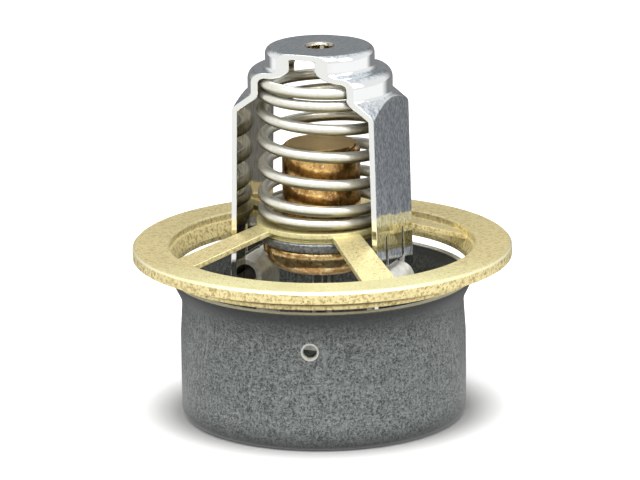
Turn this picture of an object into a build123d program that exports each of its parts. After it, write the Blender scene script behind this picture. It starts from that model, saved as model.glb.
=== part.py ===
"""Full-blocking engine thermostat with a balanced sleeve valve.

Millimetres, +Z up, origin on the axis at the sleeve's bottom edge.  The strap's
legs lie on the X axis and the frame's spokes stand between them.  The sleeve,
strap, crossbar and piston move as one against the frame and the wax element.
"""
from build123d import *
import os
from math import cos, radians, sin, sqrt, tan

os.makedirs("parts", exist_ok=True)

# ------------------------------------------------------------- driving sizes
# valve travel
stroke = 9.0

# sleeve
sleeve_radius = 26.4
sleeve_wall = 1.2
sleeve_height = 26.4
sleeve_foot_round = 1.8
sleeve_foot_turn = 1.0
waist_depth = 0.4
waist_run = 6.7
waist_round = 4.0
neck_height = 4.2
lip_flare = 1.3
lip_band = 0.8
lip_round = 2.0
vent_diameter = 2.5
vent_countersink = 0.4
vent_height = 18.8
vent_angle = -73.0

# flange ring of the frame
lip_gap = 1.4
seat_land = 0.7
collar_margin = 2.4
collar_drop = 2.4
flange_radius = 35.0
flange_thickness = 2.2
flange_bevel = 0.45
ledge_width = 0.4
ledge_depth = 1.4
ledge_bevel = 0.25
bore_taper = 0.8
seat_height = 0.9

# spokes and hub of the frame
spoke_count = 4
spoke_inner_width = 5.2
spoke_outer_width = 6.6
spoke_thickness = 0.9
spoke_drop = 0.7
spoke_lift = 0.3
hub_rise = 4.5
hub_height = 2.1
hub_flange_margin = 0.25
hub_flange_thickness = 0.9
hub_neck = 0.9
hub_groove = 0.3
pilot_height = 0.9

# spring
wire_diameter = 2.1
spring_mean_radius = 10.7
spring_length = 27.7
lower_closed_turns = 1.15
upper_closed_turns = 1.4
active_turns = 3.7
closed_pitch = 2.3
spring_start_angle = 350.0

# wax element
cup_radius = 7.2
cup_wall = 0.6
cup_rise = 14.5
cup_edge_round = 1.4
washer_margin = 0.35
washer_thickness = 1.6
shell_inset = 0.6
shell_wall = 0.7
shell_shoulder_round = 0.9
shell_lip = 2.3
shell_straight = 0.5
shell_dome_round = 3.8
boot_wall = 1.1
boot_flange = 0.7
guide_nose = 0.5
guide_nose_radius = 3.4
guide_stem_radius = 3.3
guide_stem_height = 6.0
piston_diameter = 4.2
piston_overlap = 2.0
piston_chamfer = 0.4

# strap
strap_thickness = 1.0
strap_width = 17.4
top_hole_diameter = 4.9
top_hole_round = 0.6
top_hole_collar = 0.6
tier_inset = 0.65
tier_height = 3.9
tier_round = 1.3
dome_clearance = 0.55
dome_height = 4.2
dome_round = 2.0
hollow_round = 0.9
shoulder_slope = 42.0
leg_step = 0.55
leg_splay = 1.2
leg_corner_round = 0.9
hook_bar = 2.3
slot_width = 0.95
slot_height = 5.6
tab_clearance = 1.1

# crossbar
crossbar_thickness = 1.1
crossbar_width = 16.4
crossbar_height = 15.0
crossbar_bend = 1.4
crossbar_end_height = 5.0
eye_radius = 3.05
eye_width = 8.6
eye_inset = 1.05
eye_height = 25.9
eye_wrap = 262.0
seat_depth = 0.8

# fits
seat_gap = 0.05
running_gap = 0.03
small_gap = 0.15
free_gap = 0.3

# ------------------------------------------------------------- derived places
sleeve_bore = sleeve_radius - sleeve_wall
lip_radius = sleeve_radius + lip_flare

bore_radius = lip_radius - seat_land
collar_radius = lip_radius + collar_margin
seat_radius = bore_radius + bore_taper
ledge_radius = seat_radius + ledge_width
collar_bottom = sleeve_height + lip_gap
flange_bottom = collar_bottom + collar_drop
flange_top = flange_bottom + flange_thickness
ledge_level = flange_top - ledge_depth

spring_outer = spring_mean_radius + wire_diameter / 2
spring_inner = spring_mean_radius - wire_diameter / 2
hub_top = flange_top + hub_rise
hub_bottom = hub_top - hub_height
hub_flange_radius = spring_outer + hub_flange_margin
hub_body_radius = hub_flange_radius - hub_neck
hub_hole = cup_radius + small_gap
pilot_radius = spring_inner - free_gap
spring_top = hub_top + spring_length

washer_radius = hub_body_radius + washer_margin
shell_top = hub_bottom - washer_thickness
shell_radius = washer_radius - shell_inset
shell_bottom = shell_top - shell_shoulder_round - shell_straight - shell_dome_round
cavity_radius = shell_radius - shell_wall - seat_gap
cup_flange_top = shell_top - shell_wall
cup_flange_bottom = cup_flange_top - cup_wall
guide_flange_top = cup_flange_bottom - boot_flange
guide_top = guide_flange_top + guide_stem_height
cup_top = hub_top + cup_rise

piston_radius = piston_diameter / 2
piston_foot = crossbar_height - seat_depth
piston_top = guide_top + stroke - piston_overlap

shoulder_top = spring_top + strap_thickness
strap_top = shoulder_top + tier_height
tier_radius = spring_mean_radius - tier_inset
dome_radius = spring_outer + dome_clearance + strap_thickness
dome_foot = shoulder_top - dome_height
leg_reach = dome_radius + leg_step
slope = tan(radians(shoulder_slope))


def leg_face(height):
    """Distance of the leg's outer face from the axis at a height."""
    return leg_reach + (dome_foot - height) * tan(radians(leg_splay))


eye_reach = leg_face(eye_height) - eye_inset
eye_bottom = eye_height - eye_radius
hook_level = eye_bottom
leg_bottom = hook_level - hook_bar
tab_bottom = eye_height + eye_radius + tab_clearance
window_width = eye_width + free_gap
window_top = tab_bottom + slot_height

# ------------------------------------------------------------- sleeve
waist_radius = sleeve_radius - waist_depth
waist_height = sleeve_height - neck_height
waist_start = waist_height - waist_run
vent_direction = (cos(radians(vent_angle)), sin(radians(vent_angle)), 0)

with BuildPart() as sleeve:
    with BuildSketch(Plane.XZ):
        with BuildLine():
            FilletPolyline(
                (sleeve_radius - sleeve_foot_round - sleeve_foot_turn, 0),
                (sleeve_radius, 0),
                (sleeve_radius, waist_start),
                (waist_radius, waist_height),
                (lip_radius, sleeve_height - lip_band),
                (lip_radius, sleeve_height),
                radius=[sleeve_foot_round, waist_round, waist_round, lip_round],
            )
            offset(amount=sleeve_wall, side=Side.LEFT)
        make_face()
    revolve(axis=Axis.Z)
    split(bisect_by=Plane.XY.offset(sleeve_height), keep=Keep.BOTTOM)
    lip_edges = sleeve.edges().group_by(Axis.Z)[-1]
    fillet(lip_edges, sleeve_wall / 4)
    # breather hole, countersunk from outside
    with Locations(
        Plane(
            origin=Vector(vent_direction) * sleeve_radius + Vector(0, 0, vent_height),
            z_dir=vent_direction,
        )
    ):
        CounterSinkHole(
            radius=vent_diameter / 2,
            counter_sink_radius=vent_diameter / 2 + vent_countersink,
            depth=2 * sleeve_wall,
            counter_sink_angle=90,
        )
sleeve.part.label = "sleeve"
export_step(sleeve.part, "parts/sleeve.step")

# ------------------------------------------------------------- flange frame
spoke_fall = hub_top - spoke_drop - ledge_level - spoke_lift
spoke_run = seat_radius - hub_flange_radius
spoke_slope = spoke_fall / spoke_run
spoke_depth = spoke_thickness * sqrt(1 + spoke_slope**2)
spoke_inner = (hub_hole + hub_body_radius) / 2
spoke_outer = (ledge_radius + collar_radius) / 2


def spoke_level(radius):
    """Height of a spoke's top face at a distance from the axis."""
    return hub_top - spoke_drop - (radius - hub_flange_radius) * spoke_slope


with BuildPart() as spoke:
    with BuildSketch(Plane.XZ):
        Polygon(
            (spoke_inner, spoke_level(spoke_inner)),
            (spoke_outer, spoke_level(spoke_outer)),
            (spoke_outer, spoke_level(spoke_outer) - spoke_depth),
            (spoke_inner, spoke_level(spoke_inner) - spoke_depth),
            align=None,
        )
    extrude(amount=spoke_outer_width, both=True)
    with BuildSketch():
        Polygon(
            (spoke_inner, spoke_inner_width / 2),
            (spoke_inner, -spoke_inner_width / 2),
            (spoke_outer, -spoke_outer_width / 2),
            (spoke_outer, spoke_outer_width / 2),
            align=None,
        )
    extrude(amount=hub_top, mode=Mode.INTERSECT)

with BuildPart() as flange_frame:
    # outer ring: flange, collar below it and a ledge inside the bore
    with BuildSketch(Plane.XZ):
        with BuildLine():
            Polyline(
                (ledge_radius + ledge_bevel, flange_top),
                (flange_radius - flange_bevel, flange_top),
                (flange_radius, flange_top - flange_bevel),
                (flange_radius, flange_bottom),
                (collar_radius, flange_bottom),
                (collar_radius, collar_bottom),
                (bore_radius, collar_bottom),
                (bore_radius, collar_bottom + seat_height),
                (seat_radius, ledge_level),
                (ledge_radius, ledge_level),
                (ledge_radius, flange_top - ledge_bevel),
                close=True,
            )
        make_face()
    revolve(axis=Axis.Z)
    # hub with a seat and a pilot for the spring
    with BuildSketch(Plane.XZ):
        with BuildLine():
            Polyline(
                (hub_hole, hub_bottom),
                (hub_body_radius, hub_bottom),
                (hub_body_radius, hub_top - hub_flange_thickness),
                (hub_flange_radius, hub_top - hub_flange_thickness),
                (hub_flange_radius, hub_top),
                (pilot_radius, hub_top),
                (pilot_radius, hub_top + pilot_height),
                (hub_hole, hub_top + pilot_height),
                close=True,
            )
        make_face()
    revolve(axis=Axis.Z)
    with PolarLocations(0, spoke_count, start_angle=180 / spoke_count):
        add(spoke.part)
    # turned grooves round the hub
    groove_pitch = (hub_height - hub_flange_thickness) / 3
    for groove in range(1, 3):
        with BuildSketch(Plane.XY.offset(hub_bottom + groove * groove_pitch - hub_groove / 2)):
            Circle(hub_body_radius + hub_groove)
            Circle(hub_body_radius - hub_groove, mode=Mode.SUBTRACT)
        extrude(amount=hub_groove, mode=Mode.SUBTRACT)
flange_frame.part.label = "flange_frame"
export_step(flange_frame.part, "parts/flange_frame.step")

# ------------------------------------------------------------- wax element
with BuildPart() as hub_washer:
    with BuildSketch(Plane.XY.offset(shell_top)):
        Circle(washer_radius)
        Circle(hub_hole, mode=Mode.SUBTRACT)
    extrude(amount=washer_thickness)
    fillet(hub_washer.edges().group_by(SortBy.LENGTH)[-1], washer_thickness / 5)
hub_washer.part.label = "hub_washer"
export_step(hub_washer.part, "parts/hub_washer.step")

with BuildPart() as crimp_shell:
    with BuildSketch(Plane.XZ):
        with BuildLine():
            FilletPolyline(
                (shell_radius - shell_lip, shell_top),
                (shell_radius, shell_top),
                (shell_radius, shell_bottom),
                (guide_nose_radius + seat_gap, shell_bottom),
                radius=[shell_shoulder_round, shell_dome_round],
            )
            offset(amount=shell_wall, side=Side.RIGHT)
        make_face()
    revolve(axis=Axis.Z)
crimp_shell.part.label = "crimp_shell"
export_step(crimp_shell.part, "parts/crimp_shell.step")

with BuildPart() as wax_cup:
    with BuildSketch(Plane.XZ):
        with BuildLine():
            FilletPolyline(
                (0, cup_top),
                (cup_radius, cup_top),
                (cup_radius, cup_flange_top),
                (cavity_radius - small_gap, cup_flange_top),
                radius=[cup_edge_round, cup_wall / 2],
            )
            offset(amount=cup_wall, side=Side.RIGHT)
        make_face()
    revolve(axis=Axis.Z)
wax_cup.part.label = "wax_cup"
export_step(wax_cup.part, "parts/wax_cup.step")

# space inside the crimped shell, which the guide and the boot's flange fill
guide_base = shell_bottom + shell_wall + seat_gap
with BuildPart() as shell_cavity:
    with BuildSketch(Plane.XZ):
        with BuildLine():
            bowl = FilletPolyline(
                (0, guide_base),
                (cavity_radius, guide_base),
                (cavity_radius, cup_flange_top),
                radius=shell_dome_round - shell_wall,
            )
            Polyline(bowl @ 1, (0, cup_flange_top), bowl @ 0)
        make_face()
    revolve(axis=Axis.Z)

with BuildPart() as piston_guide:
    add(shell_cavity.part)
    with BuildSketch(Plane.XY.offset(guide_flange_top)):
        Circle(shell_radius)
    extrude(amount=shell_top, mode=Mode.SUBTRACT)
    with BuildSketch(Plane.XY.offset(shell_bottom - guide_nose)):
        Circle(guide_nose_radius)
    extrude(until=Until.NEXT)
    with BuildSketch(Plane.XY.offset(guide_flange_top)):
        Circle(guide_stem_radius)
    extrude(amount=guide_stem_height)
    with BuildSketch(Plane.XY.offset(guide_top)):
        Circle(piston_radius + running_gap)
    extrude(amount=shell_bottom - guide_nose - guide_top, mode=Mode.SUBTRACT)
piston_guide.part.label = "piston_guide"
export_step(piston_guide.part, "parts/piston_guide.step")

boot_lower_bore = guide_stem_radius + seat_gap
boot_upper_bore = piston_radius + free_gap
boot_step = guide_top + seat_gap
boot_ceiling = piston_top + free_gap
with BuildPart() as rubber_boot:
    with BuildSketch(Plane.XY.offset(guide_flange_top)):
        Circle(cavity_radius)
        Circle(boot_lower_bore, mode=Mode.SUBTRACT)
    extrude(amount=boot_flange)
    add(shell_cavity.part, mode=Mode.INTERSECT)
    with BuildSketch(Plane.XZ):
        with BuildLine():
            Polyline(
                (boot_lower_bore, guide_flange_top),
                (boot_lower_bore + boot_wall, guide_flange_top),
                (boot_lower_bore + boot_wall, boot_step),
                (boot_upper_bore + boot_wall, boot_step + boot_wall),
                (boot_upper_bore + boot_wall, boot_ceiling + boot_wall),
                (0, boot_ceiling + boot_wall),
                (0, boot_ceiling),
                (boot_upper_bore, boot_ceiling),
                (boot_upper_bore, boot_step),
                (boot_lower_bore, boot_step),
                close=True,
            )
        make_face()
    revolve(axis=Axis.Z)
rubber_boot.part.label = "rubber_boot"
export_step(rubber_boot.part, "parts/rubber_boot.step")

wax_radius = cup_radius - cup_wall - seat_gap
wax_top = cup_top - cup_wall - seat_gap
with BuildPart() as wax_charge:
    with BuildSketch(Plane.XZ):
        with BuildLine():
            crown = FilletPolyline(
                (0, wax_top),
                (wax_radius, wax_top),
                (wax_radius, cup_flange_bottom + seat_gap),
                radius=cup_edge_round - cup_wall,
            )
            Polyline(
                crown @ 1,
                (boot_lower_bore + boot_wall + seat_gap, cup_flange_bottom + seat_gap),
                (boot_lower_bore + boot_wall + seat_gap, boot_step + seat_gap),
                (boot_upper_bore + boot_wall + seat_gap, boot_step + boot_wall + seat_gap),
                (boot_upper_bore + boot_wall + seat_gap, boot_ceiling + boot_wall + seat_gap),
                (0, boot_ceiling + boot_wall + seat_gap),
                crown @ 0,
            )
        make_face()
    revolve(axis=Axis.Z)
wax_charge.part.label = "wax_charge"
export_step(wax_charge.part, "parts/wax_charge.step")

with BuildPart() as piston:
    with BuildSketch(Plane.XY.offset(piston_foot)):
        Circle(piston_radius)
    extrude(amount=piston_top - piston_foot)
    chamfer(piston.edges().filter_by(GeomType.CIRCLE), piston_chamfer)
piston.part.label = "piston"
export_step(piston.part, "parts/piston.step")

# ------------------------------------------------------------- return spring
wire_radius = wire_diameter / 2
lower_rise = lower_closed_turns * closed_pitch
upper_rise = upper_closed_turns * closed_pitch
active_rise = spring_length - wire_diameter - 2 * seat_gap - lower_rise - upper_rise
coil_stages = [
    (lower_closed_turns, lower_rise),
    (active_turns, active_rise),
    (upper_closed_turns, upper_rise),
]

with BuildPart() as spring:
    coil_level = hub_top + seat_gap + wire_radius
    coil_angle = spring_start_angle
    for turns, rise in coil_stages:
        stage = Plane.XY.offset(coil_level).rotated((0, 0, coil_angle))
        with BuildLine(stage) as coil:
            Helix(rise / turns, rise, spring_mean_radius, lefthand=True)
        with BuildSketch(Plane(origin=coil.line @ 0, z_dir=coil.line % 0)):
            Circle(wire_radius)
        sweep(path=coil.line, is_frenet=True)
        coil_level += rise
        coil_angle -= turns * 360
spring.part.label = "spring"
export_step(spring.part, "parts/spring.step")

# ------------------------------------------------------------- strap
crown_reach = leg_face(leg_bottom) * 2


def dome_outline(inset):
    """Half outline of the drawn dome, moved inwards by an inset."""
    tier = tier_radius - inset
    dome = dome_radius - inset
    skirt = dome_foot - inset / cos(radians(shoulder_slope)) + inset * slope
    return [
        (0, strap_top - inset),
        (tier, strap_top - inset),
        (tier, shoulder_top - inset),
        (dome, shoulder_top - inset),
        (dome, skirt),
        (crown_reach, skirt - (crown_reach - dome) * slope),
    ]


def leg_outline(inset):
    """Outline across the two splayed legs, moved inwards by an inset."""
    above = strap_top + strap_thickness
    top = leg_face(above) - inset
    bottom = leg_face(leg_bottom - inset) - inset
    return [
        (-top, above),
        (top, above),
        (bottom, leg_bottom - inset),
        (-bottom, leg_bottom - inset),
    ]


with BuildPart() as strap_core:
    with BuildSketch(Plane.XZ):
        with BuildLine():
            outline = FilletPolyline(
                *dome_outline(strap_thickness),
                radius=[
                    tier_round - strap_thickness,
                    hollow_round + strap_thickness,
                    dome_round - strap_thickness,
                    hollow_round + strap_thickness,
                ],
            )
            Polyline(
                outline @ 1,
                (crown_reach, leg_bottom - strap_thickness),
                (0, leg_bottom - strap_thickness),
                outline @ 0,
            )
        make_face()
    revolve(axis=Axis.Z)
    with BuildSketch(Plane.XZ):
        Polygon(*leg_outline(strap_thickness), align=None)
    extrude(amount=strap_width, both=True, mode=Mode.INTERSECT)

with BuildPart() as strap:
    with BuildSketch(Plane.XZ):
        with BuildLine():
            outline = FilletPolyline(
                *dome_outline(0),
                radius=[tier_round, hollow_round, dome_round, hollow_round],
            )
            Polyline(
                outline @ 1,
                (crown_reach, leg_bottom),
                (0, leg_bottom),
                outline @ 0,
            )
        make_face()
    revolve(axis=Axis.Z)
    with BuildSketch(Plane.XZ):
        Polygon(*leg_outline(0), align=None)
    extrude(amount=strap_width / 2, both=True, mode=Mode.INTERSECT)
    # softly bent corners where the legs leave the sloping shoulders
    shoulders = strap.faces().filter_by(GeomType.CONE)
    bends = [edge for face in shoulders for edge in face.edges() if abs(edge.center().X) > leg_reach]
    fillet(bends, leg_corner_round)
    add(strap_core.part, mode=Mode.SUBTRACT)
    # plunged hole in the top, with its collar below
    hole_radius = top_hole_diameter / 2
    with BuildSketch(Plane.XY.offset(strap_top - strap_thickness)):
        Circle(hole_radius + top_hole_round)
    extrude(amount=-top_hole_collar)
    with BuildSketch(Plane.XY.offset(strap_top)):
        Circle(hole_radius)
    extrude(amount=-strap_thickness - top_hole_collar, mode=Mode.SUBTRACT)
    rims = strap.edges().filter_by(GeomType.CIRCLE).group_by(Axis.Z)[-1]
    fillet(rims.sort_by(SortBy.RADIUS)[0], top_hole_round)
    # window with its lanced tab
    tab_width = window_width - 2 * slot_width
    with BuildSketch(Plane.YZ):
        with Locations((0, hook_level)):
            Rectangle(
                window_width,
                window_top - hook_level,
                align=(Align.CENTER, Align.MIN),
            )
        with Locations((0, tab_bottom)):
            Rectangle(
                tab_width,
                slot_height,
                align=(Align.CENTER, Align.MIN),
                mode=Mode.SUBTRACT,
            )
    extrude(amount=crown_reach, both=True, mode=Mode.SUBTRACT)
strap.part.label = "strap"
export_step(strap.part, "parts/strap.step")

# ------------------------------------------------------------- crossbar
half_sheet = crossbar_thickness / 2
crossbar_level = crossbar_height - half_sheet
eye_middle = eye_radius - half_sheet
tongue_reach = eye_reach - eye_middle
rail_width = (crossbar_width - eye_width) / 2 - free_gap
cup_seat_radius = piston_radius + seat_gap

with BuildPart() as crossbar:
    # bed of the bridge between its two tongues
    with BuildSketch(Plane.XY.offset(crossbar_height - crossbar_thickness)):
        Rectangle(2 * (tongue_reach - crossbar_bend), crossbar_width)
    extrude(amount=crossbar_thickness)
    # side rails and the end flanges welded inside the sleeve
    with BuildSketch(Plane.XY.offset(crossbar_height - crossbar_thickness)) as rails:
        Rectangle(2 * sleeve_radius, crossbar_width)
        Rectangle(2 * sleeve_radius, crossbar_width - 2 * rail_width, mode=Mode.SUBTRACT)
        Circle(sleeve_bore, mode=Mode.INTERSECT)
    extrude(amount=crossbar_thickness)
    with BuildSketch(Plane.XY.offset(crossbar_height)):
        Rectangle(2 * sleeve_radius, crossbar_width)
        Circle(sleeve_bore, mode=Mode.INTERSECT)
        Circle(sleeve_bore - crossbar_thickness, mode=Mode.SUBTRACT)
    extrude(amount=-crossbar_end_height)
    # tongues that rise and roll into eyes for the strap's legs
    for side in (1, -1):
        with BuildLine(Plane.XZ) as tongue:
            rise = FilletPolyline(
                (side * (tongue_reach - 2 * crossbar_bend), crossbar_level),
                (side * tongue_reach, crossbar_level),
                (side * tongue_reach, eye_height),
                radius=crossbar_bend,
            )
            CenterArc(
                (side * eye_reach, eye_height),
                eye_middle,
                180 if side > 0 else 0,
                -side * eye_wrap,
            )
        with BuildSketch(Plane(origin=rise @ 0, x_dir=(0, 1, 0), z_dir=rise % 0)):
            Rectangle(eye_width, crossbar_thickness)
        sweep(path=tongue.wires()[0])
    # cupped seat under the piston
    with BuildSketch(Plane.XY.offset(piston_foot - crossbar_thickness)):
        Circle(cup_seat_radius + crossbar_thickness)
    extrude(amount=seat_depth)
    with BuildSketch(Plane.XY.offset(piston_foot)):
        Circle(cup_seat_radius)
    extrude(amount=seat_depth, mode=Mode.SUBTRACT)
crossbar.part.label = "crossbar"
export_step(crossbar.part, "parts/crossbar.step")
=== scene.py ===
"""Looks of the engine thermostat, in metres, in the CAD frame."""

from math import cos, radians, sin, tau

import bmesh
import bpy
from mathutils import Matrix, Vector


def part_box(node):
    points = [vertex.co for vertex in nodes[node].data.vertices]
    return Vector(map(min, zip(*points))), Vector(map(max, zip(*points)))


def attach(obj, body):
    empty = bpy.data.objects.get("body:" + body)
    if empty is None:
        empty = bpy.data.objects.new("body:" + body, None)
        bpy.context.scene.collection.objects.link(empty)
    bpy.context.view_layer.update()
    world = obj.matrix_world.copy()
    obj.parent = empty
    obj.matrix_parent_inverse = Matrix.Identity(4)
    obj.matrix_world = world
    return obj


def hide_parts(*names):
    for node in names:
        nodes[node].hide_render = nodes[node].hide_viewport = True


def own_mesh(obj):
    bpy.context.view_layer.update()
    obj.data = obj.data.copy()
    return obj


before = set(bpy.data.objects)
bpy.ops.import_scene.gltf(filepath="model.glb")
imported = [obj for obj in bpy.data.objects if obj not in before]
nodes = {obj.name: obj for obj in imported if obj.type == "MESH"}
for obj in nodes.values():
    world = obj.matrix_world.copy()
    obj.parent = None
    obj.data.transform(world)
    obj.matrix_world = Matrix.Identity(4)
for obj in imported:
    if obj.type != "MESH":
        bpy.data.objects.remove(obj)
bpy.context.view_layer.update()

MM = 0.001

# ------------------------------------------------------------- sizes and places
# camera, at the photograph's angle
camera_azimuth = 22.5
camera_elevation = 15.05
camera_roll = -0.75
camera_distance = 0.9
camera_target_height = 32.71 * MM
camera_target_right = -0.4 * MM
camera_lens = 274.6
camera_sensor = 36.0
camera_clip_start = 0.05
camera_clip_end = 50

# level direction that leads away from the photograph's side
behind = Vector((-sin(radians(camera_azimuth)), cos(radians(camera_azimuth)), 0))
up = (0, 0, 1)

# spring, round the wax cup between the hub and the strap's shoulders
spring_low, spring_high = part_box("spring")
wire_radius = 1.05 * MM
coil_radius = spring_high.x - wire_radius
lower_closed_turns = 1.15
upper_closed_turns = 1.6
active_turns = 3.7
total_turns = lower_closed_turns + active_turns + upper_closed_turns
closed_pitch = 2.3 * MM
spring_start_angle = radians(350.0)
coil_blend = 0.3
coil_steps_per_turn = 120
coil_sides = 20

# Each band below says where a look starts to change and where it has changed in full.
# sleeve: shade under the flange and at the foot, its inside, and bare metal
# at the lip and round the breather hole
sleeve_radius = 26.4 * MM
vent_height = 18.8 * MM
vent_angle = radians(-73.0)
vent_place = Vector((sleeve_radius * cos(vent_angle), sleeve_radius * sin(vent_angle), vent_height))
neck_heights = (20.0 * MM, 25.0 * MM)
foot_heights = (4.5 * MM, 0.8 * MM)
inside_radii = (25.5 * MM, 25.3 * MM)
lip_heights = (26.15 * MM, 26.25 * MM)
vent_reaches = (1.68 * MM, 1.62 * MM)

# flange frame: hub, painted light at the front, painted highlight on the rim, and
# painted shade round the collar just under the flange
hub_radii = (12.5 * MM, 15.0 * MM)
front_reaches = (12.0 * MM, 28.0 * MM)
rim_highlight_radii = (34.62 * MM, 34.74 * MM)
rim_highlight_heights = (31.85 * MM, 31.97 * MM)
edge_highlight_heights = (30.4 * MM, 30.6 * MM)
collar_radii = (29.9 * MM, 30.0 * MM)
collar_heights = (30.15 * MM, 30.05 * MM)
collar_shade_heights = (28.2 * MM, 28.7 * MM)

# strap: painted highlights on the walls of its two tiers and round the mouth of its top hole
tier_heights = (59.5 * MM, 61.5 * MM)
mouth_radii = (3.2 * MM, 3.05 * MM)
mouth_heights = (69.0 * MM, 69.2 * MM)

# crossbar: the hollows of its rolled eyes
eye_reach = 13.544 * MM
eye_height = 25.9 * MM
hollow_reaches = (2.02 * MM, 1.98 * MM)

# ------------------------------------------------------------- material kit
# the part of a noise's range across which two looks blend softly
soft = (0.3, 0.7)
bevel_samples = 6
# how far the rounded normal leans off its face where a mask of the edges is in full
edge_lean = 0.35

# The mix node's sockets share their names, so they are found by number.
# The pairs to blend come first and the result last.
mix_share = 0
number_sockets = (2, 3, 0)
colour_sockets = (6, 7, 2)


class NodeKit:
    """Short ways to add nodes to a shader tree."""

    def __init__(self, tree):
        self.tree = tree

    def node(self, kind, **settings):
        made = self.tree.nodes.new(kind)
        for key, value in settings.items():
            setattr(made, key, value)
        return made

    def wire(self, value, socket):
        """Feeds a socket from another socket or with a plain value."""
        if isinstance(value, bpy.types.NodeSocket):
            self.tree.links.new(value, socket)
        elif isinstance(value, tuple) and socket.type == "RGBA":
            socket.default_value = (*value, 1)
        else:
            socket.default_value = value

    def math(self, operation, first, second=0.0):
        """A number from one or two numbers."""
        made = self.node("ShaderNodeMath", operation=operation)
        self.wire(first, made.inputs[0])
        self.wire(second, made.inputs[1])
        return made.outputs[0]

    def both(self, first, second):
        """Where two masks hold together."""
        return self.math("MULTIPLY", first, second)

    def either(self, first, second):
        """Where at least one of two masks holds."""
        return self.math("MAXIMUM", first, second)

    def vectors(self, operation, first, second=(0, 0, 0)):
        """A vector maths node, with a vector or a number as its result."""
        made = self.node("ShaderNodeVectorMath", operation=operation)
        self.wire(first, made.inputs[0])
        self.wire(second, made.inputs[1])
        return made

    def along(self, vector, direction):
        """How far a vector goes along a direction."""
        return self.vectors("DOT_PRODUCT", vector, direction).outputs["Value"]

    def spread(self, value, low, high, to_low=0.0, to_high=1.0):
        """Turns the range from low to high into another, and holds its ends beyond it."""
        made = self.node("ShaderNodeMapRange")
        self.wire(value, made.inputs["Value"])
        for name, number in (
            ("From Min", low),
            ("From Max", high),
            ("To Min", to_low),
            ("To Max", to_high),
        ):
            made.inputs[name].default_value = number
        return made.outputs["Result"]

    def blend(self, kind, sockets, share, first, second):
        """The first at a share of 0, the second at 1, and a mixture between."""
        made = self.node("ShaderNodeMix", data_type=kind)
        first_socket, second_socket, result_socket = sockets
        self.wire(share, made.inputs[mix_share])
        self.wire(first, made.inputs[first_socket])
        self.wire(second, made.inputs[second_socket])
        return made.outputs[result_socket]

    def choose(self, share, first, second):
        """Blends two numbers."""
        return self.blend("FLOAT", number_sockets, share, first, second)

    def mix(self, share, first, second):
        """Blends two colours."""
        return self.blend("RGBA", colour_sockets, share, first, second)


class Surface(NodeKit):
    """A procedural material, built up node by node on its piece's own coordinates."""

    def __init__(self, name, colour, metallic, roughness):
        self.material = bpy.data.materials.new(name)
        self.material.use_nodes = True
        super().__init__(self.material.node_tree)
        self.shader = self.tree.nodes["Principled BSDF"]
        self.shader.inputs["Base Color"].default_value = (*colour, 1)
        self.shader.inputs["Metallic"].default_value = metallic
        self.shader.inputs["Roughness"].default_value = roughness
        self.place = self.node("ShaderNodeTexCoord").outputs["Object"]
        self.normal = None

    def noise(self, per_mm, detail, along=(1, 1, 1), distortion=0.0):
        """Noise with so many features to the millimetre, finer or coarser along each axis."""
        stretched = self.vectors("MULTIPLY", self.place, Vector(along) * per_mm / MM)
        made = self.node("ShaderNodeTexNoise")
        made.inputs["Scale"].default_value = 1
        made.inputs["Detail"].default_value = detail
        made.inputs["Distortion"].default_value = distortion
        self.wire(stretched.outputs["Vector"], made.inputs["Vector"])
        return made.outputs["Fac"]

    def coordinate(self, axis):
        """The place along X, Y or Z."""
        split = self.node("ShaderNodeSeparateXYZ")
        self.wire(self.place, split.inputs[0])
        return split.outputs[axis]

    def radius(self):
        """The distance from the part's axis."""
        level = self.vectors("MULTIPLY", self.place, (1, 1, 0))
        return self.vectors("LENGTH", level.outputs["Vector"]).outputs["Value"]

    def inwards(self):
        """The level direction that leads to the part's axis."""
        level = self.vectors("MULTIPLY", self.place, (-1, -1, 0))
        return self.vectors("NORMALIZE", level.outputs["Vector"]).outputs["Vector"]

    def turning(self, per_mm, source):
        """Fine rings across a distance, as a lathe leaves them, on a scale of 0 to 1."""
        made = self.node("ShaderNodeTexNoise", noise_dimensions="1D")
        made.inputs["Scale"].default_value = per_mm
        made.inputs["Detail"].default_value = 2
        self.wire(self.math("DIVIDE", source, MM), made.inputs["W"])
        return made.outputs["Fac"]

    def facing(self, direction):
        """How far the surface faces a direction, from -1 to 1."""
        return self.along(self.node("ShaderNodeNewGeometry").outputs["Normal"], direction)

    def rounded(self, radius):
        """The surface's normal with every edge rounded by a radius."""
        made = self.node("ShaderNodeBevel", samples=bevel_samples)
        made.inputs["Radius"].default_value = radius
        return made.outputs["Normal"]

    def edges(self, radius):
        """1 on the solid's edges, within a radius, and 0 elsewhere."""
        return self.spread(self.facing(self.rounded(radius)), 1.0, 1.0 - edge_lean)

    def soft_edges(self, radius):
        """Rounds the look of every edge by a small radius."""
        self.normal = self.rounded(radius)

    def bump(self, height, depth):
        """Raises the look of the surface by a height map of so much depth."""
        made = self.node("ShaderNodeBump")
        made.inputs["Strength"].default_value = 1
        made.inputs["Distance"].default_value = depth
        self.wire(height, made.inputs["Height"])
        if self.normal is not None:
            self.wire(self.normal, made.inputs["Normal"])
        self.normal = made.outputs["Normal"]

    def finish(self, colour, roughness=None):
        """Wires up what was built and gives the material."""
        self.wire(colour, self.shader.inputs["Base Color"])
        if roughness is not None:
            self.wire(roughness, self.shader.inputs["Roughness"])
        if self.normal is not None:
            self.wire(self.normal, self.shader.inputs["Normal"])
        return self.material


# ------------------------------------------------------------- materials


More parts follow.
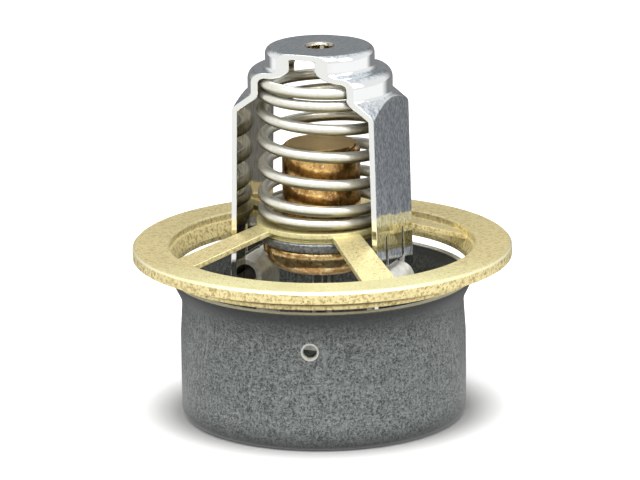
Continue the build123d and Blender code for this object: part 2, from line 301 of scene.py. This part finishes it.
def coated_steel():
    """Dark grey slide coating on steel, mottled, and bare at the lip and round the breather hole."""
    dark_grain, light_grain = (0.052, 0.06, 0.058), (0.37, 0.398, 0.388)
    dark_stroke, light_stroke = (0.04, 0.044, 0.044), (0.33, 0.36, 0.35)
    shadow = (0.03, 0.032, 0.031)
    worn_edge = (0.55, 0.54, 0.5)
    bare_lip, bare_vent = (0.7, 0.7, 0.65), (0.7, 0.7, 0.66)

    made = Surface("coated_steel", (0.1, 0.1, 0.1), metallic=0.3, roughness=0.5)
    made.soft_edges(0.25 * MM)
    # mottle, with upright strokes in some places and level ripples in others
    grain = made.noise(2.6, 5, distortion=1.0)
    swirl = made.noise(0.12, 3, distortion=2.0)
    strokes = made.noise(1.5, 4, along=(1.5, 1.5, 0.35))
    ripple = made.noise(1.4, 3, along=(0.5, 0.5, 1.9), distortion=1.5)
    turned = made.mix(made.spread(swirl, 0.42, 0.56), strokes, ripple)
    colour = made.mix(made.spread(grain, 0.4, 0.7), dark_grain, light_grain)
    colour = made.mix(made.spread(turned, 0.48, 0.62, to_high=0.5), colour, light_stroke)
    colour = made.mix(made.spread(turned, 0.46, 0.36, to_high=0.3), colour, dark_stroke)
    # shade
    height = made.coordinate("Z")
    neck = made.spread(height, *neck_heights, to_high=0.92)
    foot = made.spread(height, *foot_heights, to_high=0.8)
    inside = made.spread(made.radius(), *inside_radii, to_high=0.3)
    colour = made.mix(made.either(made.either(neck, foot), inside), colour, shadow)
    # bare metal
    colour = made.mix(made.edges(0.3 * MM), colour, worn_edge)
    colour = made.mix(made.spread(height, *lip_heights), colour, bare_lip)
    vent_reach = made.vectors("DISTANCE", made.place, vent_place).outputs["Value"]
    colour = made.mix(made.spread(vent_reach, *vent_reaches), colour, bare_vent)
    made.bump(grain, 0.03 * MM)
    return made.finish(colour, made.spread(grain, 0.2, 0.8, 0.34, 0.58))


def frame_brass():
    """Pale turned brass, passivated, finely mottled and cleaner on the hub, with painted light at
    the front, painted highlights on the rim and painted shade round the collar.
    """
    clean_and_lit_brass = (1.0, 0.98, 0.56)
    dark_blotch, light_blotch = (0.5, 0.35, 0.13), (0.96, 0.84, 0.44)
    cloudy, aged_and_shaded = (0.74, 0.62, 0.3), (0.64, 0.53, 0.26)
    bright_ring, pit = (0.98, 0.93, 0.58), (0.32, 0.22, 0.08)
    shadow, rim_edge_highlight = (0.1, 0.06, 0.02), (0.97, 0.91, 0.6)

    made = Surface("frame_brass", (0.8, 0.66, 0.3), metallic=0.6, roughness=0.3)
    made.soft_edges(0.2 * MM)
    radius = made.radius()
    height = made.coordinate("Z")
    blotch = made.noise(1.5, 5, distortion=0.4)
    cloud = made.noise(0.14, 3)
    rings = made.turning(7, radius)
    specks = made.noise(3.0, 4)
    # painted light: pale on the upward faces at the front, blotchy elsewhere, and between the two on
    # the hub
    flat = made.spread(made.facing(up), 0.3, 0.6)
    front = made.spread(made.along(made.place, -behind), *front_reaches, to_high=0.85)
    painted_front_light = made.both(front, flat)
    off_hub = made.spread(radius, *hub_radii, to_low=0.35)
    blotch_share = made.both(off_hub, made.math("SUBTRACT", 1, painted_front_light))
    blotchy = made.mix(made.spread(blotch, 0.34, 0.54), dark_blotch, light_blotch)
    colour = made.mix(blotch_share, clean_and_lit_brass, blotchy)
    colour = made.mix(made.spread(cloud, 0.4, 0.65, to_high=0.3), colour, cloudy)
    # tarnish on the upward faces and painted shade: strongest away from the painted light at the
    # front
    tarnish_and_back_shade = made.both(made.math("SUBTRACT", flat, painted_front_light), 0.55)
    colour = made.mix(tarnish_and_back_shade, colour, aged_and_shaded)
    colour = made.mix(made.spread(rings, 0.4, 0.75, to_high=0.25), colour, bright_ring)
    colour = made.mix(made.spread(specks, 0.38, 0.3), colour, pit)
    # painted shade: a dark line round the collar, just under the flange
    collar = made.both(made.spread(radius, *collar_radii), made.spread(height, *collar_heights))
    collar_shade = made.both(collar, made.spread(height, *collar_shade_heights, to_high=0.9))
    colour = made.mix(collar_shade, colour, shadow)
    # painted highlight on the top edges and on the bevel round the rim
    rim_highlight = made.both(made.spread(radius, *rim_highlight_radii), made.spread(height, *rim_highlight_heights))
    edges = made.both(made.edges(0.28 * MM), made.spread(height, *edge_highlight_heights))
    bevel_highlight = made.either(edges, rim_highlight)
    colour = made.mix(bevel_highlight, colour, rim_edge_highlight)
    made.bump(rings, 0.012 * MM)
    made.bump(specks, 0.01 * MM)
    return made.finish(colour, made.spread(bevel_highlight, 0, 1, 0.5, 0.36))


def strap_steel():
    """Bright plated steel strip with a fine brushed grain, painted lighter on top, with painted
    highlights on the tier walls and round the top hole, and painted shade on its inner faces.
    """
    dark_haze, light_haze = (0.4, 0.45, 0.5), (0.88, 0.94, 1.0)
    dark_lit_top, light_lit_top = (0.62, 0.76, 0.88), (0.97, 1.0, 1.0)
    dark_inner_shade, light_inner_shade = (0.32, 0.29, 0.22), (0.58, 0.55, 0.45)
    stroke, tier_wall_highlight = (0.98, 0.99, 1.0), (0.93, 0.95, 0.95)
    hole_rim_highlight, cut_edge = (1.0, 0.99, 0.95), (0.84, 0.85, 0.82)

    made = Surface("strap_steel", (0.8, 0.8, 0.82), metallic=1, roughness=0.16)
    made.soft_edges(0.22 * MM)
    brushed = made.noise(3.0, 4, along=(0.5, 1.0, 0.16))
    waves = made.noise(0.12, 2)
    haze = made.noise(1.7, 5, along=(1, 1, 0.7), distortion=0.6)
    hazy = made.spread(haze, 0.38, 0.62)
    upward = made.facing(up)
    height = made.coordinate("Z")
    colour = made.mix(hazy, dark_haze, light_haze)
    colour = made.mix(made.spread(brushed, 0.45, 0.7, to_high=0.3), colour, stroke)
    # painted light: the upward faces are painted lighter and bluer
    lit_top = made.mix(hazy, dark_lit_top, light_lit_top)
    colour = made.mix(made.spread(upward, 0.85, 0.97), colour, lit_top)
    # painted highlight: the walls of the two tiers are painted near white
    tier_highlight = made.both(made.spread(height, *tier_heights), made.spread(upward, 0.9, 0.6))
    colour = made.mix(tier_highlight, colour, tier_wall_highlight)
    # painted highlight round the mouth of the top hole
    mouth_highlight = made.both(
        made.spread(made.radius(), *mouth_radii), made.spread(height, *mouth_heights)
    )
    colour = made.mix(mouth_highlight, colour, hole_rim_highlight)
    sideways = made.math("ABSOLUTE", made.facing((0, 1, 0)))
    colour = made.mix(made.spread(sideways, 0.8, 0.95), colour, cut_edge)
    # painted shade on the inner faces, brownish as a painted reflection of the brass
    inner_shade = made.mix(made.spread(brushed, 0.35, 0.65), dark_inner_shade, light_inner_shade)
    colour = made.mix(made.spread(made.facing(made.inwards()), 0.35, 0.6), colour, inner_shade)
    made.bump(waves, 0.12 * MM)
    made.bump(brushed, 0.0015 * MM)
    return made.finish(colour, made.spread(haze, 0.3, 0.75, 0.03, 0.11))


def washer_steel():
    """Blue-grey steel with a dull finish."""
    dark, light = (0.14, 0.15, 0.18), (0.46, 0.48, 0.5)
    made = Surface("washer_steel", (0.3, 0.32, 0.4), metallic=1, roughness=0.42)
    made.soft_edges(0.2 * MM)
    grain = made.noise(1.8, 4)
    made.bump(grain, 0.01 * MM)
    return made.finish(
        made.mix(made.spread(grain, *soft), dark, light),
        made.spread(grain, *soft, 0.34, 0.5),
    )


def copper(name, dark, light):
    """Drawn copper, bright and golden, with darker patches and a duller top that is painted paler as
    painted light.
    """
    dark_speck, bright_speck = (0.26, 0.12, 0.04), (1.0, 0.82, 0.5)
    painted_top_light = (1.0, 0.74, 0.34)

    made = Surface(name, light, metallic=0.9, roughness=0.2)
    made.soft_edges(0.2 * MM)
    patches = made.noise(0.5, 4, along=(1, 1, 0.5), distortion=0.8)
    specks = made.noise(1.8, 5, distortion=0.6)
    colour = made.mix(made.spread(patches, 0.36, 0.62), dark, light)
    colour = made.mix(made.spread(specks, 0.44, 0.3), colour, dark_speck)
    colour = made.mix(made.spread(specks, 0.58, 0.72), colour, bright_speck)
    top = made.spread(made.facing(up), 0.8, 0.97)
    # painted light: the upward faces are painted paler
    colour = made.mix(made.both(top, 0.8), colour, painted_top_light)
    polish = made.spread(patches, *soft, 0.24, 0.12)
    made.bump(patches, 0.05 * MM)
    made.bump(specks, 0.015 * MM)
    return made.finish(colour, made.either(polish, made.both(top, 0.4)))


def spring_steel():
    """Plated spring wire, a warm near-white, with painted shade on its undersides."""
    dark, light = (0.77, 0.76, 0.66), (0.88, 0.87, 0.79)
    underside_shade = (0.2, 0.19, 0.12)
    made = Surface("spring_steel", (0.9, 0.88, 0.8), metallic=0.8, roughness=0.3)
    haze = made.noise(1.2, 4)
    grain = made.noise(4.0, 3)
    colour = made.mix(made.spread(haze, *soft), dark, light)
    # painted shade on the undersides
    colour = made.mix(made.spread(made.facing(up), 0.1, -0.5), colour, underside_shade)
    made.bump(grain, 0.004 * MM)
    return made.finish(colour, made.spread(haze, *soft, 0.36, 0.28))


def crossbar_steel():
    """Plain plated steel, a little scuffed, with the eyes' hollows in the dark."""
    dark, light = (0.66, 0.66, 0.62), (0.98, 0.98, 0.93)
    shadow = (0.02, 0.02, 0.02)
    made = Surface("crossbar_steel", (0.8, 0.8, 0.78), metallic=0.5, roughness=0.4)
    made.soft_edges(0.2 * MM)
    haze = made.noise(0.9, 5, distortion=0.5)
    # distance from the nearer eye's middle line, which runs along Y
    sideways = made.math("SUBTRACT", made.math("ABSOLUTE", made.coordinate("X")), eye_reach)
    upwards = made.math("SUBTRACT", made.coordinate("Z"), eye_height)
    squares = made.math(
        "ADD",
        made.math("MULTIPLY", sideways, sideways),
        made.math("MULTIPLY", upwards, upwards),
    )
    reach = made.math("SQRT", squares)
    colour = made.mix(made.spread(haze, *soft), dark, light)
    colour = made.mix(made.spread(reach, *hollow_reaches), colour, shadow)
    made.bump(haze, 0.02 * MM)
    return made.finish(colour, made.spread(haze, *soft, 0.34, 0.5))


def piston_steel():
    """Ground stainless rod."""
    dark, light = (0.4, 0.4, 0.41), (0.7, 0.7, 0.71)
    made = Surface("piston_steel", (0.5, 0.5, 0.5), metallic=1, roughness=0.2)
    ground = made.turning(9, made.coordinate("Z"))
    made.bump(ground, 0.003 * MM)
    return made.finish(made.mix(made.spread(ground, *soft), dark, light))


def guide_brass():
    """Turned brass, dulled by coolant."""
    dark, light = (0.4, 0.28, 0.12), (0.62, 0.47, 0.24)
    made = Surface("guide_brass", (0.5, 0.38, 0.18), metallic=1, roughness=0.4)
    made.soft_edges(0.15 * MM)
    rings = made.turning(8, made.radius())
    made.bump(rings, 0.006 * MM)
    return made.finish(made.mix(made.spread(rings, *soft), dark, light))


def boot_rubber():
    """Black moulded rubber."""
    dark, light = (0.012, 0.012, 0.012), (0.035, 0.035, 0.034)
    made = Surface("boot_rubber", (0.02, 0.02, 0.02), metallic=0, roughness=0.65)
    grain = made.noise(2.5, 4)
    made.bump(grain, 0.01 * MM)
    return made.finish(made.mix(grain, dark, light))


def wax():
    """Wax filled with copper powder."""
    dark, light = (0.3, 0.18, 0.1), (0.55, 0.36, 0.22)
    made = Surface("wax", (0.4, 0.26, 0.16), metallic=0.2, roughness=0.6)
    powder = made.noise(3.5, 5)
    made.bump(powder, 0.02 * MM)
    return made.finish(made.mix(made.spread(powder, 0.35, 0.65), dark, light))


# ------------------------------------------------------------- spring


def open_turns(turn):
    """Turns past the lower closed ones, eased in over the blend."""
    past = turn - lower_closed_turns
    if past <= -coil_blend:
        return 0.0
    if past < coil_blend:
        return (past + coil_blend) ** 2 / (4 * coil_blend)
    return past


def coil_height(turn):
    """Height of the wire's centre after a number of turns, closed at both ends."""
    rise = spring_high.z - spring_low.z - 2 * wire_radius
    extra_pitch = (rise - total_turns * closed_pitch) / active_turns
    open_part = open_turns(turn) - open_turns(turn - active_turns)
    return spring_low.z + wire_radius + turn * closed_pitch + open_part * extra_pitch


def coil_centre(turn):
    """The wire's centre after a number of turns, wound left-handed."""
    angle = spring_start_angle - turn * tau
    return Vector((coil_radius * cos(angle), coil_radius * sin(angle), coil_height(turn)))


def make_spring():
    """A left-hand coil of round wire with plain cut ends."""
    steps = round(total_turns * coil_steps_per_turn)
    mesh = bmesh.new()
    rings = []
    for step in range(steps + 1):
        here, before, after = (
            coil_centre((step + part) / steps * total_turns) for part in (0, -0.5, 0.5)
        )
        ahead = (after - before).normalized()
        outwards = Vector((here.x, here.y, 0)).normalized()
        upwards = ahead.cross(outwards).normalized()
        outwards = upwards.cross(ahead)
        angles = [tau * side / coil_sides for side in range(coil_sides)]
        rings.append(
            [
                mesh.verts.new(here + wire_radius * (cos(angle) * outwards + sin(angle) * upwards))
                for angle in angles
            ]
        )
    for first, second in zip(rings, rings[1:]):
        for side in range(coil_sides):
            follow = (side + 1) % coil_sides
            mesh.faces.new((first[side], second[side], second[follow], first[follow]))
    for end in (rings[0], list(reversed(rings[-1]))):
        mesh.faces.new(end)
    bmesh.ops.recalc_face_normals(mesh, faces=mesh.faces)
    # the wire's sides are smooth and its two cut ends flat
    for face in mesh.faces:
        face.smooth = len(face.verts) == 4
    data = bpy.data.meshes.new("spring_coil")
    mesh.to_mesh(data)
    mesh.free()
    made = bpy.data.objects.new("spring_coil", data)
    bpy.context.scene.collection.objects.link(made)
    return made


# ------------------------------------------------------------- dress the object
dress = {
    "sleeve": coated_steel(),
    "flange_frame": frame_brass(),
    "strap": strap_steel(),
    "hub_washer": washer_steel(),
    "crossbar": crossbar_steel(),
    "piston": piston_steel(),
    "piston_guide": guide_brass(),
    "rubber_boot": boot_rubber(),
    "wax_charge": wax(),
    "wax_cup": copper("cup_copper", dark=(0.34, 0.17, 0.05), light=(0.74, 0.47, 0.17)),
    # painted light: the crimp shell gets a lighter copy of the cup's copper
    "crimp_shell": copper("lit_shell_copper", dark=(0.6, 0.34, 0.12), light=(1.0, 0.76, 0.38)),
}
for name, material in dress.items():
    nodes[name].data.materials.clear()
    nodes[name].data.materials.append(material)

coil = make_spring()
coil.data.materials.append(spring_steel())
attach(coil, "valve")
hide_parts("spring")
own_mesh(coil)

# ------------------------------------------------------------- studio
white = (1, 1, 1)
floor_size = 6.0
floor_drop = 0.1 * MM
floor_grey = (0.6, 0.6, 0.6)
floor_mirrored_grey = (0.05, 0.05, 0.05)
# The floor glows for the camera, faintly at the foot as a painted shadow, more beside it and in full
# far away.
painted_shadow_lift = 0.05
floor_lift = 0.7
painted_shadow_radii = (27.0 * MM, 35.0 * MM)
far_radii = (45.0 * MM, 100.0 * MM)
# What metal mirrors: a bright floor and room in front, and a grey backdrop behind.
# The turns are how far a direction points backwards, where 1 is straight back.
mirror_floor = 0.95
mirror_back_floor = 0.2
back_floor_turn = (0.4, 0.66)
mirror_room = 0.85
mirror_back = 0.26
back_room_turn = (0.6, 0.88)
world_level = 0.4


def make_floor():
    """A white floor that keeps the object's shadow, with a painted shadow round the foot, and looks
    darker behind it in metal.
    """
    mesh = bmesh.new()
    bmesh.ops.create_grid(mesh, x_segments=1, y_segments=1, size=floor_size / 2)
    data = bpy.data.meshes.new("floor")
    mesh.to_mesh(data)
    mesh.free()
    made = bpy.data.objects.new("floor", data)
    made.location.z = -floor_drop
    bpy.context.scene.collection.objects.link(made)

    surface = Surface("floor", floor_grey, metallic=0, roughness=0.9)
    surface.shader.inputs["Specular IOR Level"].default_value = 0
    surface.shader.inputs["Emission Color"].default_value = (*white, 1)
    path = surface.node("ShaderNodeLightPath")
    seen, mirrored = path.outputs["Is Camera Ray"], path.outputs["Is Glossy Ray"]
    away = surface.vectors("NORMALIZE", surface.place).outputs["Vector"]
    turn = surface.along(away, behind)
    reflection = surface.spread(turn, *back_floor_turn, mirror_floor, mirror_back_floor)
    radius = surface.radius()
    # painted shadow: the glow is faint round the foot
    painted_shadow_glow = surface.spread(radius, *painted_shadow_radii, painted_shadow_lift, floor_lift)
    far = surface.spread(radius, *far_radii, to_high=1 - floor_lift)
    lift = surface.math("MULTIPLY", seen, surface.math("ADD", painted_shadow_glow, far))
    shown = surface.math("MULTIPLY", mirrored, reflection)
    glow = surface.math("ADD", lift, shown)
    surface.wire(glow, surface.shader.inputs["Emission Strength"])
    data.materials.append(surface.finish(surface.mix(mirrored, floor_grey, floor_mirrored_grey)))


def make_lamp(name, azimuth, elevation, distance, size, power):
    """A soft white box that faces the object from a direction."""
    data = bpy.data.lights.new(name, "AREA")
    data.shape = "RECTANGLE"
    data.size, data.size_y = size
    data.energy = power
    made = bpy.data.objects.new(name, data)
    a, e = radians(azimuth), radians(elevation)
    away = Vector((sin(a) * cos(e), -cos(a) * cos(e), sin(e)))
    made.location = away * distance + Vector((0, 0, camera_target_height))
    made.rotation_mode = "QUATERNION"
    made.rotation_quaternion = away.to_track_quat("Z", "Y")
    bpy.context.scene.collection.objects.link(made)


def make_world():
    """A pale room: white to the camera, softer as a light, and grey behind in metal."""
    world = bpy.data.worlds.new("room")
    bpy.context.scene.world = world
    world.use_nodes = True
    room = NodeKit(world.node_tree)
    background = room.tree.nodes["Background"]
    background.inputs["Color"].default_value = (*white, 1)
    path = room.node("ShaderNodeLightPath")
    direction = room.node("ShaderNodeTexCoord").outputs["Generated"]
    turn = room.along(direction, behind)
    reflection = room.spread(turn, *back_room_turn, mirror_room, mirror_back)
    level = room.choose(path.outputs["Is Glossy Ray"], world_level, reflection)
    level = room.choose(path.outputs["Is Camera Ray"], level, 1.0)
    room.wire(level, background.inputs["Strength"])


def make_camera():
    """A long lens from the photograph's side, rolled as it was."""
    data = bpy.data.cameras.new("camera")
    data.lens = camera_lens
    data.sensor_width = camera_sensor
    data.clip_start = camera_clip_start
    data.clip_end = camera_clip_end
    made = bpy.data.objects.new("camera", data)
    a, e, roll = radians(camera_azimuth), radians(camera_elevation), radians(camera_roll)
    right = Vector((cos(a), sin(a), 0))
    back = Vector((sin(a) * cos(e), -cos(a) * cos(e), sin(e)))
    upwards = back.cross(right)
    rolled_right = cos(roll) * right + sin(roll) * upwards
    rolled_up = cos(roll) * upwards - sin(roll) * right
    target = camera_target_right * right + Vector((0, 0, camera_target_height))
    turn = Matrix((rolled_right, rolled_up, back)).transposed().to_4x4()
    made.matrix_world = Matrix.Translation(target + back * camera_distance) @ turn
    bpy.context.scene.collection.objects.link(made)
    bpy.context.scene.camera = made


make_floor()
make_lamp("key", camera_azimuth - 50, elevation=48, distance=1.1, size=(0.6, 0.6), power=3.4)
make_lamp("fill", camera_azimuth + 60, elevation=35, distance=1.2, size=(0.6, 0.9), power=2.3)
make_lamp("top", camera_azimuth, elevation=75, distance=0.8, size=(0.45, 0.45), power=1.2)
make_lamp("front", camera_azimuth + 5, elevation=58, distance=0.23, size=(0.16, 0.16), power=0.4)
make_world()
make_camera()
bpy.context.scene.view_settings.view_transform = "Standard"
